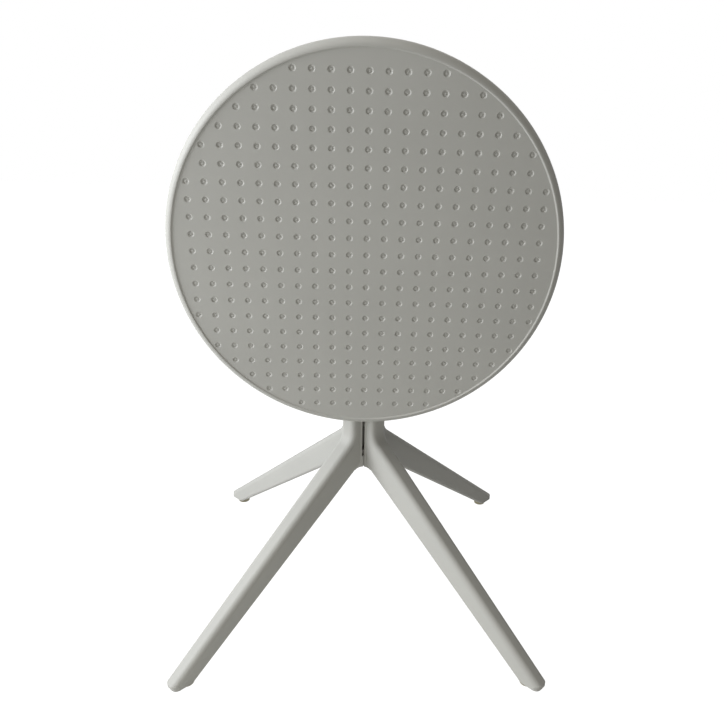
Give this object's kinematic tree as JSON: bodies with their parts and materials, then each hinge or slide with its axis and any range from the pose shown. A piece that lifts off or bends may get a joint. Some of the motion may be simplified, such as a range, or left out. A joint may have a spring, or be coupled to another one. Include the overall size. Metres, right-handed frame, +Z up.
{
  "type": "bistro table",
  "caption": "Round tilt-top bistro table in moulded resin: dimpled top inside a raised rim, tipped up in front of a lobed column on four splayed legs with levelling pads.",
  "frame": {"origin": "on the floor under the column's axis, at the centre of the four feet", "axes": "+Z up, -Y the front, the side that the top's face turns to when it is tipped up; +X to the right seen from the front"},
  "size_m": [0.6, 0.6, 0.9619],
  "materials": {
    "resin": "fine matt moulded resin, light warm grey",
    "bracket_metal": "satin dark grey powder coat",
    "zinc": "zinc-plated steel",
    "bush": "natural acetal",
    "latch": "dark grey glass-filled nylon",
    "rubber": "black rubber",
    "insert": "turned brass",
    "glide": "translucent amber polyurethane"
  },
  "bodies": {
    "base": {"base_half_left": "resin", "base_half_right": "resin", "column_head": "bracket_metal", "head_screws": "zinc", "stop_pads": "rubber", "rest_buffers": "rubber", "hinge_pin": "zinc", "hinge_clips": "zinc", "column_bolts": "zinc", "column_nuts": "zinc", "foot_inserts": "insert"},
    "top": {"tabletop": "resin", "tabletop_skirt": "resin", "tabletop_bosses": "resin", "tilt_bracket": "bracket_metal", "bracket_screws": "zinc", "bracket_bushes": "bush", "latch_pivot": "zinc"},
    "latch": {"latch_lever": "latch"},
    "foot_fl": {"foot_pad_fl": "glide", "foot_stud_fl": "zinc"},
    "foot_fr": {"foot_pad_fr": "glide", "foot_stud_fr": "zinc"},
    "foot_bl": {"foot_pad_bl": "glide", "foot_stud_bl": "zinc"},
    "foot_br": {"foot_pad_br": "glide", "foot_stud_br": "zinc"}
  },
  "joints": [
    {"name": "top_tilt", "type": "hinge", "parent": "base", "child": "top", "pos_m": [0, -0.04, 0.63], "axis": [-1, 0, 0], "range_deg": [0, 97.2]},
    {"name": "latch_turn", "type": "hinge", "parent": "top", "child": "latch", "pos_m": [0, -0.07265, 0.74481], "axis": [0, 0.9921, 0.1253], "range_deg": [0, 80]},
    {"name": "foot_screw_fl", "type": "slide", "parent": "base", "child": "foot_fl", "axis": [0, 0, -1], "range_m": [0, 0.008]},
    {"name": "foot_screw_fr", "type": "slide", "parent": "base", "child": "foot_fr", "axis": [0, 0, -1], "range_m": [0, 0.008]},
    {"name": "foot_screw_bl", "type": "slide", "parent": "base", "child": "foot_bl", "axis": [0, 0, -1], "range_m": [0, 0.008]},
    {"name": "foot_screw_br", "type": "slide", "parent": "base", "child": "foot_br", "axis": [0, 0, -1], "range_m": [0, 0.008]}
  ]
}
